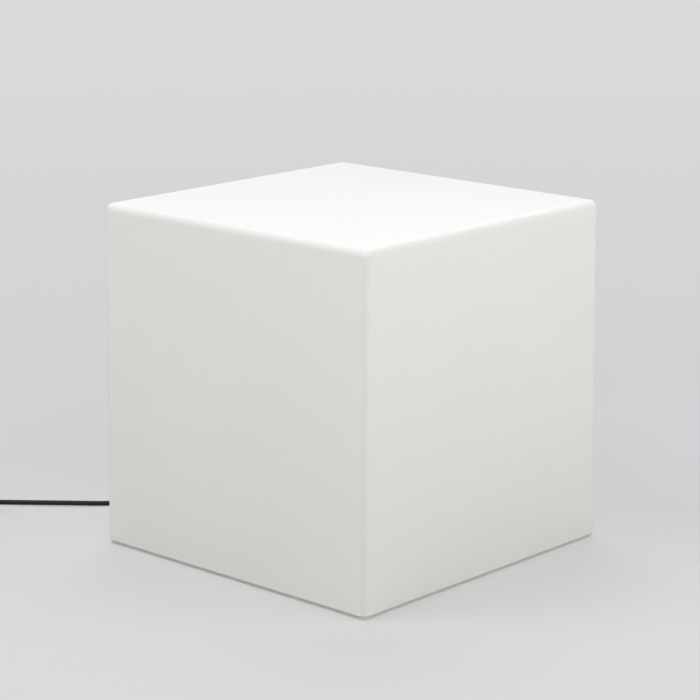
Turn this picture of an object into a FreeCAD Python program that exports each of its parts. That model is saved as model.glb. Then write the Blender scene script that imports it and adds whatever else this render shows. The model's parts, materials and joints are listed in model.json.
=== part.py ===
import FreeCAD, Part
import math
import os

from FreeCAD import Vector

# Cube light, 400 mm, for gardens and terraces.
#
# A hollow white polyethylene shade stands on a base plate, set in from its sides, and
# four rubber feet that stand a little out of the plate. The shade's underside has a
# round recess with an access opening, closed by a twist-lock lamp unit: a cap with
# three lugs, a cable gland on its axis, and a bracket that carries the lampholder and
# a screw-in LED bulb. The mains lead leaves the gland downwards, runs through an
# arched channel to the middle of the -X side and ends in a spare coil and a plug.
#
# Millimetres. +Z is up, z = 0 is the floor, and the shade is centred on x = y = 0.

# ---------------------------------------------------------------- shade
OVERALL_HEIGHT = 400.0          # floor to top face
TOP_WIDTH = 397.0               # across the shade just below the top edges
BOTTOM_WIDTH = 403.0            # across the shade at the underside: mould draft
WALL = 4.0                      # thickness of the moulded wall
EDGE_RADIUS = 9.0               # upright and top edges
BOTTOM_EDGE_RADIUS = 1.0        # edge round the underside
RECESS_DEPTH = 50.0             # underside to the ceiling of the round recess
RECESS_CLEARANCE = 7.0          # mounting ring to the chamfer of the recess
RECESS_DRAFT = 3.0              # degrees, recess wall
RECESS_ROUNDING = 5.0           # mouth of the recess
RECESS_CHAMFER = 5.0            # corner between recess wall and ceiling
ACCESS_RADIUS = 75.0            # opening in the recess ceiling
CHANNEL_WIDTH = 14.0            # cable channel, recess to -X side
CHANNEL_HEIGHT = 12.0           # underside to the top of its arch
BOSS_RADIUS = 8.0               # moulded bosses round the threaded inserts
BOSS_HEIGHT = 7.0               # above the inner face of the wall
INSERT_RADIUS = 3.2
INSERT_LENGTH = 8.0

# ---------------------------------------------------------------- base plate and feet
BASE_LIFT = 4.5                 # floor to the underside of the shade
BASE_THICKNESS = 4.0
BASE_INSET = 2.5                # edge of the plate inside the side of the shade
BASE_CORNER_RADIUS = 5.0
BASE_MOUTH_MARGIN = 1.0         # hole in the plate beyond the rounded mouth of the recess
BASE_WEB = 1.3                  # left of the plate above each foot
FOOT_RADIUS = 14.0
FOOT_POCKET_CLEARANCE = 0.3     # pocket in the plate, round each foot
FOOT_INSET = 50.0               # foot centre from the side of the shade
FOOT_CHAMFER = 1.0
FOOT_COUNTERBORE_RADIUS = 4.6
FOOT_COUNTERBORE_DEPTH = 2.2

# ---------------------------------------------------------------- M4 screws
SCREW_RADIUS = 2.0
SCREW_HEAD_RADIUS = 3.8
SCREW_HEAD_HEIGHT = 1.8
SCREW_HEAD_CHAMFER = 0.7
SCREW_HOLE_CLEARANCE = 0.2      # hole radius over screw radius
SCREW_TIP_MARGIN = 0.6          # tip of a screw from the end of what it is in

# ---------------------------------------------------------------- mounting ring
GASKET_THICKNESS = 1.5
RING_THICKNESS = 4.0            # flange under the recess ceiling
RING_CHAMFER = 1.2              # lower edge of the flange
RING_SCREW_EDGE = 10.0          # screw circle to the outer edge of the flange
RING_SCREW_CLEARANCE = 4.2      # screw heads to the edge of the cap
RING_SCREW_COUNT = 6
RING_SCREW_START = 30.0         # degrees, first screw
RING_NECK_CLEARANCE = 1.5       # neck to the edge of the access opening
RING_NECK_WALL = 3.5
RING_NECK_RISE = 5.0            # neck top above the upper face of the ceiling
RING_LIP_WIDTH = 4.0            # inward lip that the lugs hook over
RING_LIP_THICKNESS = 5.0

# ---------------------------------------------------------------- twist lock
LUG_COUNT = 3
LUG_ANGLE = 24.0                # degrees, one lug
LUG_THICKNESS = 3.7
LOCK_TURN = 35.0                # degrees from locked to free
LUG_GAP_MARGIN = 1.0            # degrees, each side of a lug in its gap in the lip
STOP_ANGLE = 4.0                # degrees, each stop
STOP_GAP = 1.3                  # degrees between a stop and the lug that meets it
LOCK_CLEARANCE = 0.3            # lugs and plug of the cap inside the ring

# ---------------------------------------------------------------- access cap
SEAL_THICKNESS = 1.5
SEAL_INNER_MARGIN = 2.0         # seal outside the bore of the ring's lip
SEAL_WIDTH = 7.0
CAP_RIM = 5.0                   # flange of the cap beyond the seal
CAP_THICKNESS = 4.0
CAP_CHAMFER = 1.2               # both edges of the flange
CAP_RISE = 12.5                 # flange top to plate top: the cap is dished upwards
GRIP_RIB_COUNT = 4
GRIP_RIB_THICKNESS = 4.0
GRIP_RIB_START = 17.0           # from the axis
CAP_BOSS_RADIUS = 5.5
CAP_BOSS_HEIGHT = 6.0

# ---------------------------------------------------------------- cable gland, M16
GLAND_THREAD_RADIUS = 7.9
GLAND_HOLE_CLEARANCE = 0.2
GLAND_HEX = 20.0                # across flats
GLAND_HEX_HEIGHT = 5.0
GLAND_STEM_LENGTH = 12.5        # above the hexagon
GLAND_NOSE_LENGTH = 9.0         # threaded part below the hexagon
GLAND_BORE_RADIUS = 4.2
GLAND_WASHER_THICKNESS = 1.2
LOCKNUT_HEIGHT = 5.0
SEAL_SLEEVE_RADIUS = 6.2
SEAL_SLEEVE_LENGTH = 7.5
SEAL_SLEEVE_DEPTH = 6.0         # how far the sleeve reaches into the nose
DOME_NUT_HEIGHT = 13.0
DOME_NUT_WALL_BELOW = 2.2       # end wall under the sleeve
DOME_NUT_EXIT_CLEARANCE = 0.4   # hole round the lead
DOME_NUT_MOUTH_RADIUS = 6.5     # small end of its dome
DOME_NUT_TOP_GAP = 0.6          # to the hexagon of the body

# ---------------------------------------------------------------- bracket and holder
BRACKET_STRIP = 2.0             # thickness of the steel strip
BRACKET_WIDTH = 24.0
BRACKET_SPAN = 48.0             # between the outer faces of its legs
BRACKET_HEIGHT = 52.0
BRACKET_TAB = 16.0              # foot of each leg, beyond the leg
BRACKET_BEND = 3.0              # inner bend radius
BRACKET_HOLE_RADIUS = 9.0       # for the two cores
HOLDER_RADIUS = 20.0
HOLDER_BASE_HEIGHT = 18.0
HOLDER_BASE_WALL = 2.5
HOLDER_SKIRT_HEIGHT = 32.0
HOLDER_SKIRT_MOUTH_RADIUS = 21.5
HOLDER_SCREW_OFFSET = 13.0      # holder screws from the axis, along y
CARRIER_THICKNESS = 6.0
SLEEVE_BORE_RADIUS = 13.5       # clears the thread of the bulb cap
SLEEVE_WALL = 0.6
SLEEVE_HEIGHT = 22.0
CONTACT_HEIGHT = 1.6
CONTACT_LENGTH = 16.0
CONTACT_WIDTH = 5.0
TERMINAL_SIZE = 6.0
TERMINAL_OFFSET = 8.0           # terminals from the axis, along x
TERMINAL_SCREW_RADIUS = 1.5

# ---------------------------------------------------------------- LED bulb, E27
BULB_THREAD_RADIUS = 13.1
BULB_THREAD_PITCH = 3.63
BULB_THREAD_TURNS = 5
BULB_THREAD_DEPTH = 0.8         # the rolled thread is drawn plain, at its crests
BULB_CAP_WALL = 0.6
BULB_TIP_RADIUS = 4.8
BULB_TIP_HEIGHT = 1.6
BULB_INSULATOR_HEIGHT = 5.0
BULB_NECK_HEIGHT = 3.0
BULB_HOUSING_HEIGHT = 42.0
BULB_HOUSING_WALL = 1.8
BULB_GLOBE_RADIUS = 30.0
BULB_GLOBE_WALL = 1.4
BULB_HOUSING_TOP_RADIUS = 28.6
LED_BOARD_THICKNESS = 1.6
LED_COUNT = 12
LED_SIZE = 3.0
LED_HEIGHT = 0.8
LED_CIRCLE = 18.0
DRIVER_WIDTH = 20.0
DRIVER_LENGTH = 32.0
DRIVER_THICKNESS = 1.6

# ---------------------------------------------------------------- mains lead
CORD_DIAMETER = 6.0
CORE_DIAMETER = 2.2
CORE_SPACING = 2.6              # between the two cores inside the sheath
SHEATH_END_ABOVE_STEM = 12.0    # sheath stripped above the gland's stem

# Route of the free lead after the gland. The first points bend it from the gland down
# to the floor, then it follows the channel and crosses the floor to the coil.
BEND_POINTS = [(0.0, 0.0, -12.0), (-6.0, 0.0, -22.4)]   # below the gland
FLOOR_POINTS = [
    (-24.4, 0.0, 0.0),
    (-68.0, 1.4, 0.0),
    (-124.0, 1.8, 0.0),
    (-178.0, 0.6, 0.0),
    (-216.0, -3.4, 0.0),
    (-243.0, -20.0, 0.0),
    (-271.0, -57.0, 0.0),
    (-310.0, -103.5, 0.0),
    (-337.0, -128.4, 1.8),
    (-366.0, -154.0, 1.8),
    (-405.5, -187.0, 0.0),
]                                # z above the height of a lead that lies on the floor
COIL_HEADING = 220.8             # degrees, the way the lead runs into the coil
COIL_LEAD_IN = 50.0              # last run before the coil

COIL_START_RADIUS = 42.5         # outermost turn
COIL_PITCH = 6.7                 # from turn to turn, outwards
COIL_LAYER_RISE = 6.5            # from layer to layer
COIL_LAYER_TURNS = 2.75          # turns in a layer
COIL_LAYERS = 4
COIL_LAST_TURN = 0.25            # added to the last layer so that the tail leaves sideways

TAIL_RUNS = [(15.0, 0.0), (22.0, 0.52), (21.0, 0.48), (14.0, 0.0)]  # ahead, share of the drop

# ---------------------------------------------------------------- plug, two pin
PLUG_WIDTH = 36.0
PLUG_HEIGHT = 25.0
PLUG_LENGTH = 36.0
PLUG_CORNER_SHARE = 0.4          # corner radius of its outline, as a share of its height
PLUG_EDGE = 2.0
PLUG_SHOULDER_LENGTH = 12.0      # tapered back of the plug
PLUG_BACK_WIDTH = 16.0
PLUG_BACK_HEIGHT = 14.0
PIN_RADIUS = 2.4
PIN_LENGTH = 19.0
PIN_SPACING = 19.0
RELIEF_LENGTH = 24.0
RELIEF_ROOT_RADIUS = 6.2
RELIEF_TIP_RADIUS = 4.4
RELIEF_RIBS = 5
RELIEF_GROOVE = 1.0

# ---------------------------------------------------------------- heights and radii
CORD_RADIUS = CORD_DIAMETER / 2
UNDERSIDE_Z = BASE_LIFT
BASE_Z = UNDERSIDE_Z - BASE_THICKNESS
FOOT_TOP_Z = UNDERSIDE_Z - BASE_WEB
FLOOR_INNER_Z = UNDERSIDE_Z + WALL
CEILING_Z = UNDERSIDE_Z + RECESS_DEPTH
CEILING_TOP_Z = CEILING_Z + WALL
GASKET_Z = CEILING_Z - GASKET_THICKNESS
RING_Z = GASKET_Z - RING_THICKNESS
LIP_TOP_Z = RING_Z + RING_LIP_THICKNESS
NECK_TOP_Z = CEILING_TOP_Z + RING_NECK_RISE
NECK_RADIUS = ACCESS_RADIUS - RING_NECK_CLEARANCE
NECK_BORE = NECK_RADIUS - RING_NECK_WALL
LIP_BORE = NECK_BORE - RING_LIP_WIDTH
SEAL_BORE = LIP_BORE + SEAL_INNER_MARGIN
SEAL_RADIUS = SEAL_BORE + SEAL_WIDTH
CAP_RADIUS = SEAL_RADIUS + CAP_RIM
RING_SCREW_CIRCLE = CAP_RADIUS + SCREW_HEAD_RADIUS + RING_SCREW_CLEARANCE
RING_RADIUS = RING_SCREW_CIRCLE + RING_SCREW_EDGE
RECESS_RADIUS = RING_RADIUS + RECESS_CLEARANCE + RECESS_CHAMFER
RECESS_MOUTH = RECESS_RADIUS + RECESS_DEPTH * math.tan(math.radians(RECESS_DRAFT))
CAP_FLANGE_TOP_Z = RING_Z - SEAL_THICKNESS
CAP_FLANGE_Z = CAP_FLANGE_TOP_Z - CAP_THICKNESS
PLATE_TOP_Z = CAP_FLANGE_TOP_Z + CAP_RISE
PLATE_Z = PLATE_TOP_Z - CAP_THICKNESS
PLUG_WALL_RADIUS = LIP_BORE - LOCK_CLEARANCE
LUG_RADIUS = NECK_BORE - LOCK_CLEARANCE
GLAND_HEX_TOP_Z = PLATE_Z - GLAND_WASHER_THICKNESS
GLAND_HEX_Z = GLAND_HEX_TOP_Z - GLAND_HEX_HEIGHT
GLAND_NOSE_Z = GLAND_HEX_Z - GLAND_NOSE_LENGTH
GLAND_STEM_TOP_Z = GLAND_HEX_TOP_Z + GLAND_STEM_LENGTH
SEAL_SLEEVE_TOP_Z = GLAND_NOSE_Z + SEAL_SLEEVE_DEPTH
SEAL_SLEEVE_Z = SEAL_SLEEVE_TOP_Z - SEAL_SLEEVE_LENGTH
DOME_NUT_Z = SEAL_SLEEVE_Z - DOME_NUT_WALL_BELOW
DOME_NUT_TOP_Z = GLAND_HEX_Z - DOME_NUT_TOP_GAP
SHEATH_END_Z = GLAND_STEM_TOP_Z + SHEATH_END_ABOVE_STEM
BRACKET_TOP_Z = PLATE_TOP_Z + BRACKET_HEIGHT
HOLDER_FLOOR_Z = BRACKET_TOP_Z + HOLDER_BASE_WALL
HOLDER_JOINT_Z = BRACKET_TOP_Z + HOLDER_BASE_HEIGHT
CARRIER_TOP_Z = HOLDER_JOINT_Z + CARRIER_THICKNESS / 2
CARRIER_Z = CARRIER_TOP_Z - CARRIER_THICKNESS
SLEEVE_RADIUS = SLEEVE_BORE_RADIUS + SLEEVE_WALL
BULB_Z = CARRIER_TOP_Z + CONTACT_HEIGHT
FOOT_POSITION = BOTTOM_WIDTH / 2 - FOOT_INSET
FLOOR_CORD_Z = CORD_RADIUS


# ---------------------------------------------------------------- helpers
def disc(radius, low, high, x=0.0, y=0.0):
    """Upright cylinder between two heights."""
    return Part.makeCylinder(radius, high - low, Vector(x, y, low))


def ring(outer, inner, low, high, x=0.0, y=0.0):
    """Upright tube between two heights."""
    return disc(outer, low, high, x, y).cut(disc(inner, low - 1, high + 1, x, y))


def hexagon(across_flats, low, high):
    """Upright hexagonal prism on the axis."""
    corner = across_flats / math.sqrt(3)
    points = [polar(corner, 60 * i, low) for i in range(7)]
    return Part.Face(Part.makePolygon(points)).extrude(Vector(0, 0, high - low))


def polar(radius, degrees, z=0.0):
    angle = math.radians(degrees)
    return Vector(radius * math.cos(angle), radius * math.sin(angle), z)


def around(count, start=0.0):
    """Directions, in degrees, evenly spaced round the axis."""
    return [start + 360.0 * i / count for i in range(count)]


def revolved(points):
    """Solid of revolution of a closed outline of (radius, height) points."""
    corners = [Vector(r, 0, z) for r, z in points]
    face = Part.Face(Part.makePolygon(corners + corners[:1]))
    return face.revolve(Vector(0, 0, 0), Vector(0, 0, 1), 360)


def revolved_edges(edges):
    """Solid of revolution of a closed outline given as edges in the XZ plane."""
    face = Part.Face(Part.Wire(edges))
    return face.revolve(Vector(0, 0, 0), Vector(0, 0, 1), 360)


def line(a, b):
    return Part.LineSegment(a, b).toShape()


def arc(a, through, b):
    return Part.Arc(a, through, b).toShape()


def sector(outer, inner, low, high, middle, angle):
    """Part of a ring, centred on one direction."""
    start = middle - angle / 2
    outline = Part.Wire([
        line(polar(inner, start, low), polar(outer, start, low)),
        arc(polar(outer, start, low), polar(outer, middle, low), polar(outer, start + angle, low)),
        line(polar(outer, start + angle, low), polar(inner, start + angle, low)),
        arc(polar(inner, start + angle, low), polar(inner, middle, low), polar(inner, start, low)),
    ])
    return Part.Face(outline).extrude(Vector(0, 0, high - low))


def rounded(shape, radius, wanted):
    """Fillet the edges that a test picks."""
    return shape.makeFillet(radius, [edge for edge in shape.Edges if wanted(edge)])


def bevelled(shape, size, wanted):
    """Chamfer the edges that a test picks."""
    return shape.makeChamfer(size, [edge for edge in shape.Edges if wanted(edge)])


def fused(first, others):
    """One solid of several that touch."""
    return first.multiFuse(others).removeSplitter()


def cut_by(shape, tools):
    for tool in tools:
        shape = shape.cut(tool)
    return shape


def save(name, solids):
    """Write one node, as one solid or a group of them."""
    shape = solids if not isinstance(solids, list) else Part.makeCompound(solids)
    shape.exportStep("parts/" + name + ".step")
    return shape


def pan_screw(x, y, seat_z, length, upwards):
    """M4 screw whose head rests at seat_z and whose shank points up or down."""
    way = 1 if upwards else -1
    head = Part.makeCylinder(
        SCREW_HEAD_RADIUS, SCREW_HEAD_HEIGHT, Vector(x, y, seat_z), Vector(0, 0, -way))
    crown = bevelled(head, SCREW_HEAD_CHAMFER,
                     lambda e: abs(e.BoundBox.ZMin - (seat_z - way * SCREW_HEAD_HEIGHT)) < 1e-6
                     and e.BoundBox.ZLength < 1e-6)
    shank = Part.makeCylinder(SCREW_RADIUS, length, Vector(x, y, seat_z), Vector(0, 0, way))
    return fused(crown, [shank])


# ---------------------------------------------------------------- shade
def width_at(z):
    """Width of the shade: it tapers from the underside to the top."""
    share = (z - UNDERSIDE_Z) / (OVERALL_HEIGHT - UNDERSIDE_Z)
    return BOTTOM_WIDTH + (TOP_WIDTH - BOTTOM_WIDTH) * share


def tapered_block(low, high, inset, edge_radius, bottom_radius):
    """The shade's outline, drawn in by inset, with rounded edges."""
    squares = []
    for z in (low, high):
        half = width_at(z) / 2 - inset
        squares.append([Vector(half, half, z), Vector(-half, half, z),
                        Vector(-half, -half, z), Vector(half, -half, z)])
    bottom, top = squares
    outlines = [bottom[::-1], top]
    for i in range(4):
        j = (i + 1) % 4
        outlines.append([bottom[i], bottom[j], top[j], top[i]])
    faces = [Part.Face(Part.makePolygon(points + points[:1])) for points in outlines]
    block = Part.makeSolid(Part.makeShell(faces))
    block = rounded(block, edge_radius, lambda e: e.BoundBox.ZMax > high - 1e-6)
    return rounded(block, bottom_radius, lambda e: e.BoundBox.ZMax < low + 1e-6)


def recess_form(offset):
    """What the recess takes out of the underside; offset gives its inner skin."""
    top = CEILING_Z + offset
    mouth = RECESS_MOUTH + offset
    cone = Part.makeCone(mouth, RECESS_RADIUS + offset, top - UNDERSIDE_Z,
                         Vector(0, 0, UNDERSIDE_Z))
    even_wall = RECESS_CHAMFER + offset * (2 - math.sqrt(2))
    cone = bevelled(cone, even_wall, lambda e: abs(e.BoundBox.ZMin - top) < 1e-6)
    return cone.fuse(disc(mouth, UNDERSIDE_Z - WALL, UNDERSIDE_Z))


def channel_form(offset, reach):
    """What the arched cable channel takes out, from the recess to x = -reach."""
    half = CHANNEL_WIDTH / 2 + offset
    spring = UNDERSIDE_Z + CHANNEL_HEIGHT - CHANNEL_WIDTH / 2
    start = -RECESS_RADIUS + RECESS_ROUNDING
    low = UNDERSIDE_Z - WALL
    a = Vector(start, -half, low)
    b = Vector(start, -half, spring)
    c = Vector(start, 0, spring + half)
    d = Vector(start, half, spring)
    e = Vector(start, half, low)
    outline = Part.Wire([line(a, b), arc(b, c, d), line(d, e), line(e, a)])
    return Part.Face(outline).extrude(Vector(-reach - start, 0, 0))


def foot_places():
    return [(x, y) for x in (-FOOT_POSITION, FOOT_POSITION)
            for y in (-FOOT_POSITION, FOOT_POSITION)]


def ring_screw_places():
    return [polar(RING_SCREW_CIRCLE, a) for a in around(RING_SCREW_COUNT, RING_SCREW_START)]


def cube_shell():
    top = OVERALL_HEIGHT
    outer = tapered_block(UNDERSIDE_Z, top, 0.0, EDGE_RADIUS, BOTTOM_EDGE_RADIUS)
    outer = outer.cut(recess_form(0.0))
    outer = rounded(outer, RECESS_ROUNDING,
                    lambda e: abs(e.BoundBox.ZMin - UNDERSIDE_Z) < 1e-6
                    and e.BoundBox.ZLength < 1e-6
                    and abs(e.BoundBox.XLength - 2 * RECESS_MOUTH) < 1e-3)
    outer = outer.cut(channel_form(0.0, BOTTOM_WIDTH))
    inner = tapered_block(FLOOR_INNER_Z, top - WALL, WALL,
                          EDGE_RADIUS - WALL, BOTTOM_EDGE_RADIUS)
    inner = cut_by(inner, [recess_form(WALL), channel_form(WALL, BOTTOM_WIDTH)])
    foot_bosses = [disc(BOSS_RADIUS, UNDERSIDE_Z, FLOOR_INNER_Z + BOSS_HEIGHT, x, y)
                   for x, y in foot_places()]
    ring_bosses = [disc(BOSS_RADIUS, CEILING_Z, CEILING_TOP_Z + BOSS_HEIGHT, p.x, p.y)
                   for p in ring_screw_places()]
    inner = cut_by(inner, foot_bosses + ring_bosses)
    shell = outer.cut(inner)
    shell = shell.cut(disc(ACCESS_RADIUS, CEILING_Z - 1, CEILING_TOP_Z + BOSS_HEIGHT + 1))
    seats = [disc(INSERT_RADIUS, UNDERSIDE_Z - 1, UNDERSIDE_Z + INSERT_LENGTH, x, y)
             for x, y in foot_places()]
    seats += [disc(INSERT_RADIUS, CEILING_Z - 1, CEILING_Z + INSERT_LENGTH, p.x, p.y)
              for p in ring_screw_places()]
    return cut_by(shell, seats)


def threaded_insert(x, y, low):
    """Brass bush moulded into a boss, closed at its inner end."""
    body = disc(INSERT_RADIUS, low, low + INSERT_LENGTH, x, y)
    bore = disc(SCREW_RADIUS, low - 1, low + INSERT_LENGTH - SCREW_TIP_MARGIN / 2, x, y)
    return body.cut(bore)


def base_plate():
    """Square plate under the shade, cut out for the recess, the lead and the feet."""
    half = BOTTOM_WIDTH / 2 - BASE_INSET
    plate = Part.makeBox(2 * half, 2 * half, BASE_THICKNESS, Vector(-half, -half, BASE_Z))
    plate = rounded(plate, BASE_CORNER_RADIUS, lambda e: e.BoundBox.ZLength > 1e-6)
    mouth = disc(RECESS_MOUTH + RECESS_ROUNDING + BASE_MOUTH_MARGIN, BASE_Z - 1, UNDERSIDE_Z + 1)
    slot = Part.makeBox(half + 1, CHANNEL_WIDTH, BASE_THICKNESS + 2,
                        Vector(-half - 1, -CHANNEL_WIDTH / 2, BASE_Z - 1))
    pockets = [disc(FOOT_RADIUS + FOOT_POCKET_CLEARANCE, BASE_Z - 1, FOOT_TOP_Z, x, y)
               for x, y in foot_places()]
    holes = [disc(SCREW_RADIUS + SCREW_HOLE_CLEARANCE, BASE_Z - 1, UNDERSIDE_Z + 1, x, y)
             for x, y in foot_places()]
    return cut_by(plate, [mouth, slot] + pockets + holes)


def rubber_foot(x, y):
    foot = disc(FOOT_RADIUS, 0, FOOT_TOP_Z, x, y)
    foot = foot.makeChamfer(FOOT_CHAMFER, [e for e in foot.Edges if e.BoundBox.ZMax < 1e-6])
    bore = disc(SCREW_RADIUS + SCREW_HOLE_CLEARANCE, -1, FOOT_TOP_Z + 1, x, y)
    pocket = disc(FOOT_COUNTERBORE_RADIUS, -1, FOOT_COUNTERBORE_DEPTH, x, y)
    return cut_by(foot, [bore, pocket])


def foot_screw(x, y):
    reach = UNDERSIDE_Z + INSERT_LENGTH - SCREW_TIP_MARGIN - FOOT_COUNTERBORE_DEPTH
    return pan_screw(x, y, FOOT_COUNTERBORE_DEPTH, reach, True)


# ---------------------------------------------------------------- mounting ring
def ring_gasket():
    gasket = ring(RING_RADIUS, ACCESS_RADIUS, GASKET_Z, CEILING_Z)
    holes = [disc(SCREW_RADIUS + SCREW_HOLE_CLEARANCE, GASKET_Z - 1, CEILING_Z + 1, p.x, p.y)
             for p in ring_screw_places()]
    return cut_by(gasket, holes)


def lug_directions():
    """Where the lugs are when the cap is locked."""
    return around(LUG_COUNT, 90.0)


def mounting_ring():
    """Flange, neck and lip, with lug gaps in the lip and a stop at each end of the turn."""
    body = revolved([
        (LIP_BORE, RING_Z), (RING_RADIUS, RING_Z), (RING_RADIUS, GASKET_Z),
        (NECK_RADIUS, GASKET_Z), (NECK_RADIUS, NECK_TOP_Z), (NECK_BORE, NECK_TOP_Z),
        (NECK_BORE, LIP_TOP_Z), (LIP_BORE, LIP_TOP_Z)])
    body = bevelled(body, RING_CHAMFER,
                    lambda e: abs(e.BoundBox.XLength - 2 * RING_RADIUS) < 1e-3
                    and abs(e.BoundBox.ZMin - RING_Z) < 1e-6 and e.BoundBox.ZLength < 1e-6)
    gaps = []
    stops = []
    for lug in lug_directions():
        gaps.append(sector(NECK_BORE, LIP_BORE - 1, RING_Z - 1, LIP_TOP_Z + 1,
                           lug + LOCK_TURN, LUG_ANGLE + 2 * LUG_GAP_MARGIN))
        reach = LUG_ANGLE / 2 + STOP_GAP + STOP_ANGLE / 2
        stops.append(sector(NECK_BORE + 0.5, LIP_BORE, LIP_TOP_Z - 0.5, NECK_TOP_Z,
                            lug - reach, STOP_ANGLE))
        stops.append(sector(NECK_BORE + 0.5, LIP_BORE, LIP_TOP_Z - 0.5, NECK_TOP_Z,
                            lug + LOCK_TURN + reach, STOP_ANGLE))
    holes = [disc(SCREW_RADIUS + SCREW_HOLE_CLEARANCE, RING_Z - 1, GASKET_Z + 1, p.x, p.y)
             for p in ring_screw_places()]
    return cut_by(fused(body, stops), gaps + holes)


def ring_screw(place):
    reach = CEILING_Z + INSERT_LENGTH - SCREW_TIP_MARGIN - RING_Z
    return pan_screw(place.x, place.y, RING_Z, reach, True)


# ---------------------------------------------------------------- access cap
def cap_seal():
    return ring(SEAL_RADIUS, SEAL_BORE, CAP_FLANGE_TOP_Z, RING_Z)


def bracket_screw_places():
    offset = BRACKET_SPAN / 2 + BRACKET_TAB / 2
    return [(-offset, 0.0), (offset, 0.0)]


def access_cap():
    """Dished cap: flange, plug wall with lugs, plate, grip ribs and screw bosses."""
    wall_inner = PLUG_WALL_RADIUS - CAP_THICKNESS
    body = revolved([
        (wall_inner, CAP_FLANGE_Z), (CAP_RADIUS, CAP_FLANGE_Z),
        (CAP_RADIUS, CAP_FLANGE_TOP_Z), (PLUG_WALL_RADIUS, CAP_FLANGE_TOP_Z),
        (PLUG_WALL_RADIUS, PLATE_TOP_Z),
        (GLAND_THREAD_RADIUS + GLAND_HOLE_CLEARANCE, PLATE_TOP_Z),
        (GLAND_THREAD_RADIUS + GLAND_HOLE_CLEARANCE, PLATE_Z), (wall_inner, PLATE_Z)])
    body = bevelled(body, CAP_CHAMFER,
                    lambda e: abs(e.BoundBox.XLength - 2 * CAP_RADIUS) < 1e-3
                    and e.BoundBox.ZLength < 1e-6)
    lug_low = LIP_TOP_Z + LOCK_CLEARANCE
    extras = [sector(LUG_RADIUS, PLUG_WALL_RADIUS - 1, lug_low, lug_low + LUG_THICKNESS,
                     lug, LUG_ANGLE) for lug in lug_directions()]
    for direction in around(GRIP_RIB_COUNT, 45.0):
        rib = Part.makeBox(wall_inner + 1 - GRIP_RIB_START, GRIP_RIB_THICKNESS,
                           PLATE_Z + 0.5 - CAP_FLANGE_Z,
                           Vector(GRIP_RIB_START, -GRIP_RIB_THICKNESS / 2, CAP_FLANGE_Z))
        rib = rounded(rib, GRIP_RIB_THICKNESS * 0.3,
                      lambda e: e.BoundBox.ZMax < CAP_FLANGE_Z + 1e-6
                      and e.BoundBox.YLength < 1e-6)
        rib.rotate(Vector(0, 0, 0), Vector(0, 0, 1), direction)
        extras.append(rib)
    for x, y in bracket_screw_places():
        extras.append(disc(CAP_BOSS_RADIUS, PLATE_Z - CAP_BOSS_HEIGHT, PLATE_Z + 0.5, x, y))
    holes = [disc(SCREW_RADIUS, PLATE_Z - CAP_BOSS_HEIGHT + SCREW_TIP_MARGIN,
                  PLATE_TOP_Z + 1, x, y) for x, y in bracket_screw_places()]
    return cut_by(fused(body, extras), holes)


# ---------------------------------------------------------------- cable gland
def gland_body():
    stem = disc(GLAND_THREAD_RADIUS, GLAND_HEX_TOP_Z, GLAND_STEM_TOP_Z)
    nose = disc(GLAND_THREAD_RADIUS, GLAND_NOSE_Z, GLAND_HEX_Z)
    body = fused(hexagon(GLAND_HEX, GLAND_HEX_Z, GLAND_HEX_TOP_Z), [stem, nose])
    bore = disc(GLAND_BORE_RADIUS, GLAND_NOSE_Z - 1, GLAND_STEM_TOP_Z + 1)
    seat = disc(SEAL_SLEEVE_RADIUS, GLAND_NOSE_Z - 1, SEAL_SLEEVE_TOP_Z)
    return cut_by(body, [bore, seat])


def gland_washer():
    return ring(GLAND_HEX / 2, GLAND_THREAD_RADIUS, GLAND_HEX_TOP_Z, PLATE_Z)


def gland_locknut():
    nut = hexagon(GLAND_HEX, PLATE_TOP_Z, PLATE_TOP_Z + LOCKNUT_HEIGHT)
    return nut.cut(disc(GLAND_THREAD_RADIUS, PLATE_TOP_Z - 1, PLATE_TOP_Z + LOCKNUT_HEIGHT + 1))


def gland_seal():
    return ring(SEAL_SLEEVE_RADIUS, CORD_RADIUS, SEAL_SLEEVE_Z, SEAL_SLEEVE_TOP_Z)


def gland_dome_nut():
    """Hexagonal nut whose lower half narrows to the lead in a dome."""
    prism = hexagon(GLAND_HEX, DOME_NUT_Z, DOME_NUT_TOP_Z)
    corner = GLAND_HEX / math.sqrt(3)
    shoulder = (DOME_NUT_Z + DOME_NUT_TOP_Z) / 2
    low = Vector(DOME_NUT_MOUTH_RADIUS, 0, DOME_NUT_Z)
    high = Vector(corner + 0.2, 0, shoulder)
    span = shoulder - DOME_NUT_Z
    middle = Vector(DOME_NUT_MOUTH_RADIUS + (high.x - low.x) * 0.72, 0, DOME_NUT_Z + span * 0.36)
    axis_low = Vector(0, 0, DOME_NUT_Z)
    axis_high = Vector(0, 0, DOME_NUT_TOP_Z)
    rim = Vector(high.x, 0, DOME_NUT_TOP_Z)
    form = revolved_edges([line(axis_low, low), arc(low, middle, high), line(high, rim),
                           line(rim, axis_high), line(axis_high, axis_low)])
    nut = prism.common(form)
    nut = nut.cut(disc(CORD_RADIUS + DOME_NUT_EXIT_CLEARANCE, DOME_NUT_Z - 1, DOME_NUT_TOP_Z))
    nut = nut.cut(disc(SEAL_SLEEVE_RADIUS, SEAL_SLEEVE_Z, DOME_NUT_TOP_Z))
    return nut.cut(disc(GLAND_THREAD_RADIUS, GLAND_NOSE_Z, DOME_NUT_TOP_Z + 1))


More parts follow.
